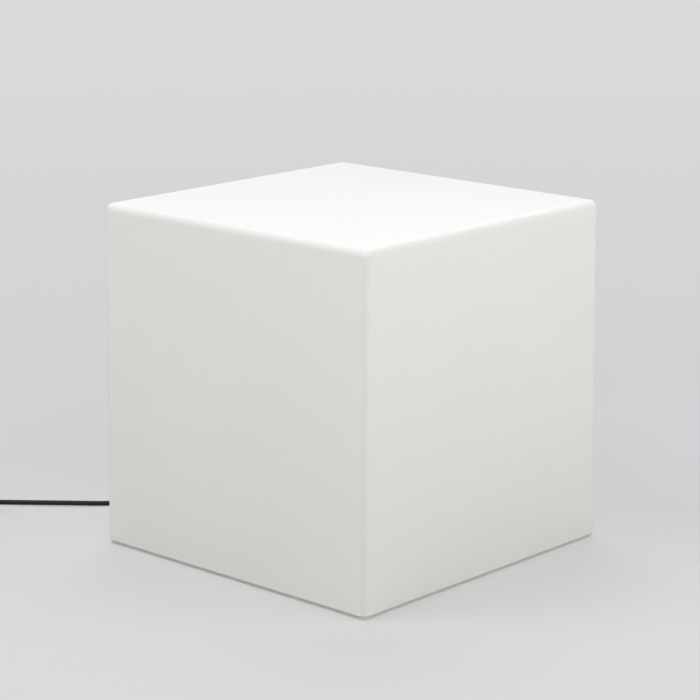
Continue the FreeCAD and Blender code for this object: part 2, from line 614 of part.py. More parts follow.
# ---------------------------------------------------------------- bracket, holder
def lampholder_bracket():
    """Bent steel strip: two tabs on the plate, two legs and a bridge."""
    half = BRACKET_SPAN / 2
    low = PLATE_TOP_Z
    high = BRACKET_TOP_Z
    tab = half + BRACKET_TAB
    outline = [(-tab, low), (-half + BRACKET_STRIP, low),
               (-half + BRACKET_STRIP, high - BRACKET_STRIP),
               (half - BRACKET_STRIP, high - BRACKET_STRIP), (half - BRACKET_STRIP, low),
               (tab, low), (tab, low + BRACKET_STRIP), (half, low + BRACKET_STRIP),
               (half, high), (-half, high), (-half, low + BRACKET_STRIP),
               (-tab, low + BRACKET_STRIP)]
    corners = [Vector(x, -BRACKET_WIDTH / 2, z) for x, z in outline]
    strip = Part.Face(Part.makePolygon(corners + corners[:1]))
    strip = strip.extrude(Vector(0, BRACKET_WIDTH, 0))
    outer_bends = BRACKET_BEND + BRACKET_STRIP
    inside = [(-half + BRACKET_STRIP, high - BRACKET_STRIP),
              (half - BRACKET_STRIP, high - BRACKET_STRIP),
              (-half, low + BRACKET_STRIP), (half, low + BRACKET_STRIP)]
    outside = [(-half, high), (half, high),
               (-half + BRACKET_STRIP, low), (half - BRACKET_STRIP, low)]

    def upright_at(places):
        def wanted(edge):
            box = edge.BoundBox
            return box.YLength > BRACKET_WIDTH - 1e-3 and any(
                abs(box.XMin - x) < 1e-3 and abs(box.ZMin - z) < 1e-3 for x, z in places)
        return wanted

    strip = rounded(strip, BRACKET_BEND, upright_at(inside))
    strip = rounded(strip, outer_bends, upright_at(outside))
    holes = [disc(BRACKET_HOLE_RADIUS, high - 2 * BRACKET_STRIP, high + 1)]
    holes += [disc(SCREW_RADIUS + SCREW_HOLE_CLEARANCE, low - 1, low + BRACKET_STRIP + 1, x, y)
              for x, y in bracket_screw_places()]
    return cut_by(strip, holes + holder_screw_holes())


def bracket_screw(x, y):
    seat = PLATE_TOP_Z + BRACKET_STRIP
    reach = seat - (PLATE_Z - CAP_BOSS_HEIGHT + 2 * SCREW_TIP_MARGIN)
    return pan_screw(x, y, seat, reach, False)


def holder_screw_places():
    # The bridge is as wide as the strip, so the screws stand well inside its edges.
    return [(-HOLDER_SCREW_OFFSET, 0.0), (HOLDER_SCREW_OFFSET, 0.0)]


def holder_screw_holes():
    return [disc(TERMINAL_SCREW_RADIUS, BRACKET_TOP_Z - 2 * BRACKET_STRIP, BRACKET_TOP_Z + 1, x, y)
            for x, y in holder_screw_places()]


def lampholder_base():
    """Cup that holds the terminals, screwed down on the bridge."""
    outer = disc(HOLDER_RADIUS, BRACKET_TOP_Z, HOLDER_JOINT_Z)
    outer = rounded(outer, HOLDER_BASE_WALL * 0.5, lambda e: e.BoundBox.ZMax < BRACKET_TOP_Z + 1e-6)
    hollow = disc(HOLDER_RADIUS - HOLDER_BASE_WALL, HOLDER_FLOOR_Z, HOLDER_JOINT_Z + 1)
    entry = disc(CORE_SPACING + CORE_DIAMETER, BRACKET_TOP_Z - 1, HOLDER_FLOOR_Z + 1)
    holes = [disc(TERMINAL_SCREW_RADIUS, BRACKET_TOP_Z - 1, HOLDER_FLOOR_Z + 1, x, y)
             for x, y in holder_screw_places()]
    return cut_by(outer, [hollow, entry] + holes)


def holder_screw(x, y):
    """Small screw up through the bridge into the holder's floor."""
    seat = BRACKET_TOP_Z - BRACKET_STRIP
    head = disc(TERMINAL_SCREW_RADIUS * 1.9, seat - TERMINAL_SCREW_RADIUS, seat, x, y)
    return fused(head, [disc(TERMINAL_SCREW_RADIUS, seat, HOLDER_FLOOR_Z, x, y)])


def lampholder_skirt():
    """Flared skirt round the screw sleeve; its lower bore holds the contact carrier."""
    top = HOLDER_JOINT_Z + HOLDER_SKIRT_HEIGHT
    body = revolved([
        (0, HOLDER_JOINT_Z), (HOLDER_RADIUS, HOLDER_JOINT_Z),
        (HOLDER_RADIUS, HOLDER_JOINT_Z + HOLDER_SKIRT_HEIGHT * 0.3),
        (HOLDER_SKIRT_MOUTH_RADIUS, top), (0, top)])
    body = rounded(body, SLEEVE_WALL * 2,
                   lambda e: e.BoundBox.ZMin > top - 1e-6)
    hollow = disc(SLEEVE_RADIUS, HOLDER_JOINT_Z - 1, CARRIER_TOP_Z + SLEEVE_HEIGHT)
    mouth = disc(SLEEVE_RADIUS + SLEEVE_WALL * 2, CARRIER_TOP_Z + SLEEVE_HEIGHT, top + 1)
    seat = disc(carrier_radius(), HOLDER_JOINT_Z - 1, CARRIER_TOP_Z)
    return cut_by(body, [hollow, mouth, seat])


def carrier_radius():
    return HOLDER_RADIUS - HOLDER_BASE_WALL


def contact_carrier():
    """Ceramic disc between cup and skirt."""
    return disc(carrier_radius(), CARRIER_Z, CARRIER_TOP_Z)


def screw_sleeve():
    return ring(SLEEVE_RADIUS, SLEEVE_BORE_RADIUS, CARRIER_TOP_Z, CARRIER_TOP_Z + SLEEVE_HEIGHT)


def centre_contact():
    """Sprung tongue, drawn pressed flat by the bulb."""
    low = CARRIER_TOP_Z
    tongue = Part.makeBox(CONTACT_LENGTH, CONTACT_WIDTH, CONTACT_HEIGHT,
                          Vector(-CONTACT_LENGTH / 2, -CONTACT_WIDTH / 2, low))
    gap = Part.makeBox(CONTACT_LENGTH * 0.6, CONTACT_WIDTH + 2, CONTACT_HEIGHT * 0.5,
                       Vector(-CONTACT_LENGTH * 0.2, -CONTACT_WIDTH / 2 - 1, low))
    return tongue.cut(gap)


def terminal(side):
    """Brass block under the carrier with a hole for one core."""
    x = side * TERMINAL_OFFSET
    half = TERMINAL_SIZE / 2
    block = Part.makeBox(TERMINAL_SIZE, TERMINAL_SIZE, TERMINAL_SIZE,
                         Vector(x - half, -half, CARRIER_Z - TERMINAL_SIZE))
    wire_hole = disc(CORE_DIAMETER / 2, CARRIER_Z - TERMINAL_SIZE - 1, CARRIER_Z - half / 2, x, 0)
    screw_hole = Part.makeCylinder(TERMINAL_SCREW_RADIUS, half - CORE_DIAMETER / 2,
                                   Vector(x, -half, CARRIER_Z - half), Vector(0, 1, 0))
    return cut_by(block, [wire_hole, screw_hole])


def terminal_screw(side):
    x = side * TERMINAL_OFFSET
    half = TERMINAL_SIZE / 2
    z = CARRIER_Z - half
    shank = Part.makeCylinder(TERMINAL_SCREW_RADIUS, half - CORE_DIAMETER / 2,
                              Vector(x, -half, z), Vector(0, 1, 0))
    head = Part.makeCylinder(TERMINAL_SCREW_RADIUS * 1.4, TERMINAL_SCREW_RADIUS,
                             Vector(x, -half, z), Vector(0, -1, 0))
    return fused(head, [shank])


# ---------------------------------------------------------------- LED bulb
def bulb_levels():
    """Heights on the bulb: thread start, thread end, housing start and end."""
    thread_low = BULB_Z + BULB_TIP_HEIGHT + BULB_INSULATOR_HEIGHT
    thread_high = thread_low + BULB_THREAD_TURNS * BULB_THREAD_PITCH
    housing_low = thread_high + BULB_NECK_HEIGHT
    return thread_low, thread_high, housing_low, housing_low + BULB_HOUSING_HEIGHT


def bulb_tip():
    tip = disc(BULB_TIP_RADIUS, BULB_Z, BULB_Z + BULB_TIP_HEIGHT)
    return rounded(tip, BULB_TIP_HEIGHT * 0.5, lambda e: e.BoundBox.ZMax < BULB_Z + 1e-6)


def bulb_insulator():
    """Dark glass cone between the tip and the screw shell."""
    thread_low = bulb_levels()[0]
    return Part.makeCone(BULB_TIP_RADIUS + 1.0, BULB_THREAD_RADIUS - BULB_THREAD_DEPTH,
                         BULB_INSULATOR_HEIGHT, Vector(0, 0, thread_low - BULB_INSULATOR_HEIGHT))


def bulb_cap():
    """Screw shell, open above; its threaded length stands out to the crests."""
    thread_low, thread_high, housing_low, _ = bulb_levels()
    trough = BULB_THREAD_RADIUS - BULB_THREAD_DEPTH
    bore = trough - BULB_CAP_WALL
    run_out = BULB_THREAD_PITCH / 2
    return revolved([
        (bore, thread_low), (trough, thread_low), (BULB_THREAD_RADIUS, thread_low + run_out),
        (BULB_THREAD_RADIUS, thread_high - run_out), (trough, thread_high),
        (trough, housing_low), (bore, housing_low)])


def housing_radius(z):
    """Outer radius of the bulb's housing, a straight flare."""
    _, _, low, high = bulb_levels()
    share = (z - low) / (high - low)
    return BULB_THREAD_RADIUS + (BULB_HOUSING_TOP_RADIUS - BULB_THREAD_RADIUS) * share


def bulb_housing():
    """Flared plastic body, with a rebate inside its rim for the board and globe."""
    _, thread_high, low, high = bulb_levels()
    neck = BULB_THREAD_RADIUS - BULB_THREAD_DEPTH - BULB_CAP_WALL
    rebate = high - LED_BOARD_THICKNESS - BULB_GLOBE_WALL
    slope = Vector(housing_radius(rebate) - BULB_HOUSING_WALL * 2, 0, rebate)
    flare = [Vector(BULB_THREAD_RADIUS, 0, low),
             Vector(housing_radius((low + high) / 2) - 1.6, 0, (low + high) / 2),
             Vector(BULB_HOUSING_TOP_RADIUS, 0, high)]
    board_edge = housing_radius(rebate) - BULB_HOUSING_WALL
    corners = [Vector(BULB_HOUSING_TOP_RADIUS, 0, high), Vector(board_edge, 0, high),
               Vector(board_edge, 0, rebate), slope,
               Vector(neck - BULB_HOUSING_WALL, 0, low),
               Vector(neck - BULB_HOUSING_WALL, 0, thread_high), Vector(neck, 0, thread_high),
               Vector(neck, 0, low), flare[0]]
    edges = [arc(*flare)]
    edges += [line(a, b) for a, b in zip(corners, corners[1:])]
    return revolved_edges(edges)


def board_radius():
    high = bulb_levels()[3]
    return housing_radius(high - LED_BOARD_THICKNESS - BULB_GLOBE_WALL) - BULB_HOUSING_WALL


def board_height():
    """Top face of the LED board."""
    return bulb_levels()[3] - BULB_GLOBE_WALL


def led_board():
    top = board_height()
    return disc(board_radius(), top - LED_BOARD_THICKNESS, top)


def led_chip(direction):
    top = board_height()
    chip = Part.makeBox(LED_SIZE, LED_SIZE, LED_HEIGHT,
                        Vector(LED_CIRCLE - LED_SIZE / 2, -LED_SIZE / 2, top))
    chip.rotate(Vector(0, 0, 0), Vector(0, 0, 1), direction)
    return chip


def driver_levels():
    top = board_height() - LED_BOARD_THICKNESS
    return top - DRIVER_LENGTH, top


def driver_board():
    """Upright circuit board in the flare of the housing."""
    low, top = driver_levels()
    return Part.makeBox(DRIVER_WIDTH, DRIVER_THICKNESS, top - low,
                        Vector(-DRIVER_WIDTH / 2, -DRIVER_THICKNESS / 2, low))


def driver_parts():
    """Capacitor and coil on the two faces of the driver board."""
    low, top = driver_levels()
    face = DRIVER_THICKNESS / 2
    can_radius = 4.5
    can = Part.makeCylinder(can_radius, DRIVER_LENGTH * 0.4,
                            Vector(0, face + can_radius, top - DRIVER_LENGTH * 0.5))
    coil = Part.makeBox(10.0, 7.0, 9.0, Vector(-5.0, -face - 7.0, top - 14.0))
    pad = Part.makeBox(3.0, can_radius, DRIVER_LENGTH * 0.3,
                       Vector(-1.5, face, top - DRIVER_LENGTH * 0.45))
    return [fused(can, [pad]), coil]


def bulb_globe():
    """Opal globe: a ball cut off at the housing's rim, with a collar down to the board."""
    base = board_height()
    rim_z = bulb_levels()[3]
    rim = BULB_HOUSING_TOP_RADIUS
    collar = board_radius()
    wall = BULB_GLOBE_WALL
    inner = BULB_GLOBE_RADIUS - wall
    centre_z = rim_z + math.sqrt(BULB_GLOBE_RADIUS ** 2 - rim ** 2)
    step_z = rim_z + wall
    step = math.sqrt(inner ** 2 - (centre_z - step_z) ** 2)
    outer = [Vector(rim, 0, rim_z), Vector(BULB_GLOBE_RADIUS, 0, centre_z),
             Vector(0, 0, centre_z + BULB_GLOBE_RADIUS)]
    hollow = [Vector(0, 0, centre_z + inner), Vector(inner, 0, centre_z),
              Vector(step, 0, step_z)]
    foot = [Vector(collar - wall, 0, step_z), Vector(collar - wall, 0, base),
            Vector(collar, 0, base), Vector(collar, 0, rim_z)]
    edges = [arc(*outer), line(outer[2], hollow[0]), arc(*hollow), line(hollow[2], foot[0])]
    edges += [line(a, b) for a, b in zip(foot, foot[1:] + [outer[0]])]
    return revolved_edges(edges)


# ---------------------------------------------------------------- cord
def route_edges(points):
    """Straight runs joined by tangent arcs; prints nothing, returns edges and radii."""
    edges = []
    radii = []
    here = points[0]
    for before, corner, after in zip(points, points[1:], points[2:]):
        way_in = (corner - before).normalize()
        way_out = (after - corner).normalize()
        shorter = min((corner - before).Length, (after - corner).Length)
        half_turn = way_in.getAngle(way_out) / 2
        trim = 0.45 * shorter
        radius = trim / math.tan(half_turn)
        start = corner - way_in * trim
        end = corner + way_out * trim
        inward = (way_out - way_in).normalize()
        middle = corner + inward * (radius / math.cos(half_turn) - radius)
        edges.append(line(here, start))
        edges.append(arc(start, middle, end))
        radii.append(radius)
        here = end
    edges.append(line(here, points[-1]))
    return edges, radii


def swept(edges, radius):
    """Round tube along tangent edges."""
    path = Part.Wire(edges)
    first = edges[0]
    start = first.valueAt(first.FirstParameter)
    way = first.tangentAt(first.FirstParameter)
    circle = Part.Wire([Part.Circle(start, way, radius).toShape()])
    return path.makePipeShell([circle], True, False)


def report_tube(name, solid, edges, radius, radii):
    length = sum(edge.Length for edge in edges)
    ideal = math.pi * radius ** 2 * length
    print("%s: length %.1f, volume %.1f against %.1f, lowest %.2f, tightest arc %.1f" % (
        name, length, solid.Volume, ideal, solid.BoundBox.ZMin, min(radii)))
    return length


def lead_route():
    """Points of the free lead, from the gland to the start of the coil."""
    points = [Vector(0, 0, DOME_NUT_Z)]
    points += [Vector(x, y, DOME_NUT_Z + z) for x, y, z in BEND_POINTS]
    points += [Vector(x, y, FLOOR_CORD_Z + z) for x, y, z in FLOOR_POINTS]
    points.append(points[-1] + polar(COIL_LEAD_IN, COIL_HEADING))
    return points


def coil_local(turns):
    """Place on the coil's centre line, in its own frame, after so many turns.

    The radius falls and grows at a steady rate. Round each reversal, half a turn long,
    it follows a parabola while the lead climbs to the next layer.
    """
    radius = COIL_START_RADIUS
    height = 0.0
    layer = min(int(round(turns / COIL_LAYER_TURNS)), COIL_LAYERS - 1)
    half = 0.25
    swing = COIL_PITCH * (COIL_LAYER_TURNS - half / 2)
    if layer == 0:
        away = COIL_LAYER_TURNS
        start_inner = True
    else:
        away = turns - layer * COIL_LAYER_TURNS
        start_inner = layer % 2 == 1
    if layer == 0 and turns <= COIL_LAYER_TURNS - half:
        return radius - COIL_PITCH * turns, 0.0
    inner_radius = COIL_START_RADIUS - swing
    outer_radius = inner_radius + COIL_PITCH * (COIL_LAYER_TURNS - half)
    if layer == 0:
        away = turns - COIL_LAYER_TURNS
        layer = 1
    if abs(away) <= half:
        bulge = COIL_PITCH * away ** 2 / (2 * half)
        share = (away + half) / (2 * half)
        climb = share ** 2 * (3 - 2 * share)
        height = (layer - 1 + climb) * COIL_LAYER_RISE
    else:
        bulge = COIL_PITCH * (abs(away) - half / 2)
        height = (layer if away > 0 else layer - 1) * COIL_LAYER_RISE
    radius = inner_radius + bulge if start_inner else outer_radius - bulge
    return radius, height


def coil_frame():
    """Turn and shift that lay the coil's first point behind the lead's last one."""
    slope = math.degrees(math.atan2(-COIL_PITCH, 2 * math.pi * COIL_START_RADIUS))
    turn = COIL_HEADING - 90.0 + slope
    first = polar(COIL_START_RADIUS, turn)
    arrival = lead_route()[-1] + polar(CORD_DIAMETER, COIL_HEADING)
    return turn, arrival - first


def coil_place(turns):
    radius, height = coil_local(turns)
    turn, shift = coil_frame()
    return polar(radius, turn + 360.0 * turns, height) + shift


def coil_direction(turns):
    step = 1e-4
    return (coil_place(turns + step) - coil_place(turns - step)).normalize()


def biarc(start, start_way, end, end_way):
    """Two tangent arcs from one place and direction to another."""
    gap = end - start
    sum_way = start_way + end_way
    a = 2 * (1 - start_way.dot(end_way))
    b = 2 * gap.dot(sum_way)
    c = -gap.dot(gap)
    reach = (-b + math.sqrt(b * b - 4 * a * c)) / (2 * a)
    first_knee = start + start_way * reach
    second_knee = end - end_way * reach
    joint = (first_knee + second_knee) * 0.5
    return [knee_arc(start, first_knee, joint), knee_arc(joint, second_knee, end)]


def knee_arc(a, knee, b):
    """Arc from a to b whose end tangents meet at the knee."""
    chord_middle = (a + b) * 0.5
    depth = (knee - chord_middle).Length
    half_chord = (b - a).Length / 2
    half_angle = math.atan2(depth, half_chord)
    sagitta = half_chord * math.tan(half_angle / 2)
    return arc(a, chord_middle + (knee - chord_middle).normalize() * sagitta, b)


def coil_turns():
    return COIL_LAYERS * COIL_LAYER_TURNS + COIL_LAST_TURN


def coil_edges():
    """A straight start and end, with a pair of arcs for each half turn, and a last quarter."""
    stops = [half / 2.0 for half in range(int(coil_turns() * 2) + 1)]
    if stops[-1] < coil_turns():
        stops.append(coil_turns())
    places = [coil_place(turns) for turns in stops]
    ways = [coil_direction(turns) for turns in stops]
    ways[0] = polar(1.0, COIL_HEADING)
    ways[-1] = Vector(ways[-1].x, ways[-1].y, 0).normalize()
    edges = [line(places[0] - ways[0] * CORD_DIAMETER, places[0])]
    for i in range(len(stops) - 1):
        edges += biarc(places[i], ways[i], places[i + 1], ways[i + 1])
    edges.append(line(places[-1], places[-1] + ways[-1] * CORD_DIAMETER))
    return edges


def least_gap(edges, spacing=1.5):
    """Smallest clear distance between two turns, measured on points of the centre line."""
    points = []
    for edge in edges:
        count = max(2, int(edge.Length / spacing))
        points += edge.discretize(count)[:-1]
    skip = int(math.pi * COIL_START_RADIUS / spacing * 0.6)
    least = min((p - q).Length for i, p in enumerate(points) for q in points[i + skip:])
    return least - CORD_DIAMETER


def tail_route(start, way):
    """Points of the short end between the coil and the plug."""
    drop = start.z - PLUG_HEIGHT / 2
    points = [start]
    for ahead, share in TAIL_RUNS:
        points.append(points[-1] + way * ahead - Vector(0, 0, drop * share))
    return points


def core(side):
    """One insulated core, from the stripped sheath up into its terminal."""
    near = side * CORE_SPACING / 2
    far = side * TERMINAL_OFFSET
    end = CARRIER_Z - TERMINAL_SIZE / 2
    low = SHEATH_END_Z
    fork = (low + HOLDER_FLOOR_Z) / 2
    points = [Vector(near, 0, low), Vector(near, 0, low + (fork - low) * 0.4),
              Vector(side * CORE_SPACING, 0, fork),
              Vector(side * CORE_SPACING, 0, HOLDER_FLOOR_Z + CORE_DIAMETER / 2),
              Vector(far, 0, CARRIER_Z - TERMINAL_SIZE - CORE_DIAMETER),
              Vector(far, 0, end)]
    edges, _ = route_edges(points)
    return swept(edges, CORE_DIAMETER / 2)


# ---------------------------------------------------------------- plug
def in_line(shape, start, way):
    """Lay a shape drawn along +X so that it starts at a place and points along way."""
    angle = math.degrees(math.atan2(way.y, way.x))
    shape.rotate(Vector(0, 0, 0), Vector(0, 0, 1), angle)
    shape.translate(start)
    return shape


def plug_outline(width, height, x):
    """Flat-sided oval, square to X: straight top, bottom and sides, round corners."""
    half = width / 2
    rise = height / 2
    radius = height * PLUG_CORNER_SHARE
    bend = radius * (1 - math.sqrt(0.5))
    edges = []
    centres = [(1, 1), (-1, 1), (-1, -1), (1, -1)]
    for (side, up), (next_side, next_up) in zip(centres, centres[1:] + centres[:1]):
        on_side = Vector(x, side * half, up * (rise - radius))
        on_level = Vector(x, side * (half - radius), up * rise)
        knee = Vector(x, side * (half - bend), up * (rise - bend))
        first, last = (on_side, on_level) if side == up else (on_level, on_side)
        edges.append(arc(first, knee, last))
        if next_up == up:
            target = Vector(x, next_side * (half - radius), up * rise)
        else:
            target = Vector(x, side * half, next_up * (rise - radius))
        edges.append(line(last, target))
    return Part.Wire(edges)


def plug_body():
    """Two-pin plug: a flat-sided oval block with a tapered back and a finger dish."""
    back = Part.makeLoft([plug_outline(PLUG_BACK_WIDTH, PLUG_BACK_HEIGHT, RELIEF_LENGTH),
                          plug_outline(PLUG_WIDTH, PLUG_HEIGHT,
                                       RELIEF_LENGTH + PLUG_SHOULDER_LENGTH)], True, True)
    front_x = RELIEF_LENGTH + PLUG_LENGTH
    block = Part.Face(plug_outline(PLUG_WIDTH, PLUG_HEIGHT,
                                   RELIEF_LENGTH + PLUG_SHOULDER_LENGTH))
    block = block.extrude(Vector(PLUG_LENGTH - PLUG_SHOULDER_LENGTH, 0, 0))
    block = rounded(block, PLUG_EDGE, lambda e: e.BoundBox.XMin > front_x - 1e-6)
    body = fused(block, [back])
    return cut_by(body, [Part.makeCylinder(PIN_RADIUS, PLUG_LENGTH / 3,
                                           Vector(front_x - PLUG_LENGTH / 3, y, 0),
                                           Vector(1, 0, 0)) for y in pin_offsets()])


def pin_offsets():
    return (-PIN_SPACING / 2, PIN_SPACING / 2)


def plug_pin(y):
    """Round pin, sunk a third of the plug deep, with a rounded tip."""
    front_x = RELIEF_LENGTH + PLUG_LENGTH
    sunk = PLUG_LENGTH / 3
    pin = Part.makeCylinder(PIN_RADIUS, PIN_LENGTH + sunk, Vector(front_x - sunk, y, 0),
                            Vector(1, 0, 0))
    return rounded(pin, PIN_RADIUS * 0.45, lambda e: e.BoundBox.XMin > front_x + 1)


def plug_strain_relief():
    """Ribbed boot that the lead ends in."""
    length = RELIEF_LENGTH
    profile = [Vector(0, 0, 0), Vector(0, RELIEF_TIP_RADIUS, 0)]
    step = length / (2 * RELIEF_RIBS + 1)
    for rib in range(RELIEF_RIBS):
        for part, drop in ((1, 0), (1, 1), (2, 1), (2, 0)):
            x = step * (2 * rib + part)
            share = x / length
            radius = RELIEF_TIP_RADIUS + (RELIEF_ROOT_RADIUS - RELIEF_TIP_RADIUS) * share
            profile.append(Vector(x, radius - RELIEF_GROOVE * drop, 0))
    profile.append(Vector(length, RELIEF_ROOT_RADIUS, 0))
    profile.append(Vector(length, 0, 0))
    face = Part.Face(Part.makePolygon(profile + profile[:1]))
    return face.revolve(Vector(0, 0, 0), Vector(1, 0, 0), 360)


# ---------------------------------------------------------------- build
def build_shade():
    save("cube_shell", cube_shell())
    save("foot_inserts", [threaded_insert(x, y, UNDERSIDE_Z) for x, y in foot_places()])
    save("ring_inserts", [threaded_insert(p.x, p.y, CEILING_Z) for p in ring_screw_places()])
    save("base_plate", base_plate())
    save("rubber_feet", [rubber_foot(x, y) for x, y in foot_places()])
    save("foot_screws", [foot_screw(x, y) for x, y in foot_places()])
    save("ring_gasket", ring_gasket())
    save("mounting_ring", mounting_ring())
    save("ring_screws", [ring_screw(p) for p in ring_screw_places()])


def build_lamp_unit():
    save("access_cap", access_cap())
    save("cap_seal", cap_seal())
    save("gland_body", gland_body())
    save("gland_washer", gland_washer())
    save("gland_locknut", gland_locknut())
    save("gland_seal", gland_seal())
    save("gland_dome_nut", gland_dome_nut())
    save("lampholder_bracket", lampholder_bracket())
    save("bracket_screws", [bracket_screw(x, y) for x, y in bracket_screw_places()])
    save("lampholder_base", lampholder_base())
    save("holder_screws", [holder_screw(x, y) for x, y in holder_screw_places()])
    save("lampholder_skirt", lampholder_skirt())
    save("contact_carrier", contact_carrier())
    save("screw_sleeve", screw_sleeve())
    save("centre_contact", centre_contact())
    save("terminals", [terminal(side) for side in (-1, 1)])
    save("terminal_screws", [terminal_screw(side) for side in (-1, 1)])
    save("inner_cord", disc(CORD_RADIUS, DOME_NUT_Z, SHEATH_END_Z))
    save("live_core", core(1))
    save("neutral_core", core(-1))


def build_bulb():
    save("bulb_tip", bulb_tip())
    save("bulb_insulator", bulb_insulator())
    save("bulb_cap", bulb_cap())
    save("bulb_housing", bulb_housing())
    save("driver_board", driver_board())
    save("driver_parts", driver_parts())
    save("led_board", led_board())
    save("led_chips", [led_chip(direction) for direction in around(LED_COUNT)])
    save("bulb_globe", bulb_globe())


def build_lead():
    edges, radii = route_edges(lead_route())
    lead = save("mains_cord", swept(edges, CORD_RADIUS))
    total = report_tube("mains_cord", lead, edges, CORD_RADIUS, radii)
    print("mains_cord arc radii: " + ", ".join("%.0f" % radius for radius in radii))

    edges = coil_edges()
    coil = save("cord_coil", swept(edges, CORD_RADIUS))
    total += report_tube("cord_coil", coil, edges, CORD_RADIUS, [
        edge.Curve.Radius for edge in edges if hasattr(edge.Curve, "Radius")])
    print("cord_coil: %.2f turns, least gap to itself %.2f" % (coil_turns(), least_gap(edges)))

    last = edges[-1]
    way = last.tangentAt(last.FirstParameter)
    edges, radii = route_edges(tail_route(last.valueAt(last.LastParameter), way))
    tail = save("cord_tail", swept(edges, CORD_RADIUS))
    total += report_tube("cord_tail", tail, edges, CORD_RADIUS, radii)
    print("whole lead from the sheath end to the plug: %.0f" % (total + SHEATH_END_Z - DOME_NUT_Z))

    start = tail_route(last.valueAt(last.LastParameter), way)[-1]
    save("plug_strain_relief", in_line(plug_strain_relief(), start, way))
    save("plug_body", in_line(plug_body(), start, way))
    save("plug_pins", [in_line(plug_pin(y), start, way) for y in pin_offsets()])
    print("plug face at %.2f, %.2f, %.2f, facing %.4f, %.4f" % (
        *(start + way * (RELIEF_LENGTH + PLUG_LENGTH)), way.x, way.y))


os.makedirs("parts", exist_ok=True)
build_shade()
build_lamp_unit()
build_bulb()
build_lead()
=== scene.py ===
import json
import math

import bmesh
import bpy
from mathutils import Matrix, Vector


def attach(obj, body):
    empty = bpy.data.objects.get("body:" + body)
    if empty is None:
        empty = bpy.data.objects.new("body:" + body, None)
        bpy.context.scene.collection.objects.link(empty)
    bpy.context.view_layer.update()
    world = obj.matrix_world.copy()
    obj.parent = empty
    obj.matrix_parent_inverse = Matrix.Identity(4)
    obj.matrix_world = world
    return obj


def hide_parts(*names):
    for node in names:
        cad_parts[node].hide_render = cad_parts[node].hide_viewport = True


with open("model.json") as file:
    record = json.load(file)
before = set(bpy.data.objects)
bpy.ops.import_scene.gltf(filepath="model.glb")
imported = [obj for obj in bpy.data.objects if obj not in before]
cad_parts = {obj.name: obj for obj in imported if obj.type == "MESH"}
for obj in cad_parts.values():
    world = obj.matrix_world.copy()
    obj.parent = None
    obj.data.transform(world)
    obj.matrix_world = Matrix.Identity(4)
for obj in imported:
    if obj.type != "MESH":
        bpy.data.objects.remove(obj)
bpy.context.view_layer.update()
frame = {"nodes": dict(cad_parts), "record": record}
NODES = frame["nodes"]
MM = 0.001

# ---------------------------------------------------------------- camera
# The photograph's own viewpoint: metres and degrees in the part's frame.
CAMERA_PLACE = (1.8971, -2.0836, 0.9114)
CAMERA_HEADING = 42.37          # turned left from +Y
CAMERA_DOWN = 13.65             # tilted down from level
CAMERA_ROLL = 0.09
CAMERA_LENS = 130.3             # mm
CAMERA_SENSOR = 36.0            # mm, square
CAMERA_CLIP_END = 200.0


def make_camera():
    data = bpy.data.cameras.new("camera")
    data.sensor_fit = "HORIZONTAL"
    data.sensor_width = CAMERA_SENSOR
    data.lens = CAMERA_LENS
    data.clip_end = CAMERA_CLIP_END
    camera = bpy.data.objects.new("camera", data)
    turn = Matrix.Rotation(math.radians(CAMERA_HEADING), 4, "Z")
    tilt = Matrix.Rotation(math.radians(90.0 - CAMERA_DOWN), 4, "X")
    roll = Matrix.Rotation(math.radians(CAMERA_ROLL), 4, "Z")
    camera.matrix_world = Matrix.Translation(CAMERA_PLACE) @ turn @ tilt @ roll
    bpy.context.scene.collection.objects.link(camera)
    bpy.context.scene.camera = camera


# ---------------------------------------------------------------- mains lead
# Millimetres and degrees.
CORD_DIAMETER = 6.0
FLOOR_CORD_Z = CORD_DIAMETER / 2
GLAND_END = (0.0, 0.0, 37.1)
BEND_POINTS = [(0.0, 0.0, -12.0), (-6.0, 0.0, -22.4)]       # from the gland's end
FLOOR_POINTS = [
    (-24.4, 0.0, 0.0),
    (-68.0, 1.4, 0.0),
    (-124.0, 1.8, 0.0),
    (-178.0, 0.6, 0.0),
    (-216.0, -3.4, 0.0),
    (-243.0, -20.0, 0.0),
    (-271.0, -57.0, 0.0),
    (-308.3, -105.3, 0.0),
    (-334.6, -131.0, 1.0),
    (-364.1, -156.1, 1.0),
    (-405.5, -187.0, 0.0),
]                               # above the height of a lead that lies on the floor
COIL_HEADING = 220.8
COIL_LEAD_IN = 50.0
COIL_START_RADIUS = 42.5
COIL_PITCH = 6.7
COIL_LAYER_RISE = 6.5
COIL_LAYER_TURNS = 2.75
COIL_LAYERS = 4
COIL_CROSSING = 0.25            # turns before and after the change to the next layer
COIL_LAST_TURN = 0.25
COIL_POINTS_A_TURN = 16
COIL_OUTSET = 0.75              # power of a chord's shortfall that the points make up for
COIL_END_STEP = 1e-3            # turns over which the way out of the coil is taken
TAIL_RUNS = [                   # length, share of the way down to the plug
    (15.0, 0.0),
    (22.0, 0.52),
    (21.0, 0.48),
    (14.0, 0.0),
]
PLUG_HEIGHT = 25.0
LEAD_ORDER = 3
LEAD_STEPS = 5                  # along each span, and round each quarter of the section


def polar(radius, degrees, z=0.0):
    """Point at a distance and a heading from the Z axis."""
    angle = math.radians(degrees)
    return Vector((radius * math.cos(angle), radius * math.sin(angle), z))


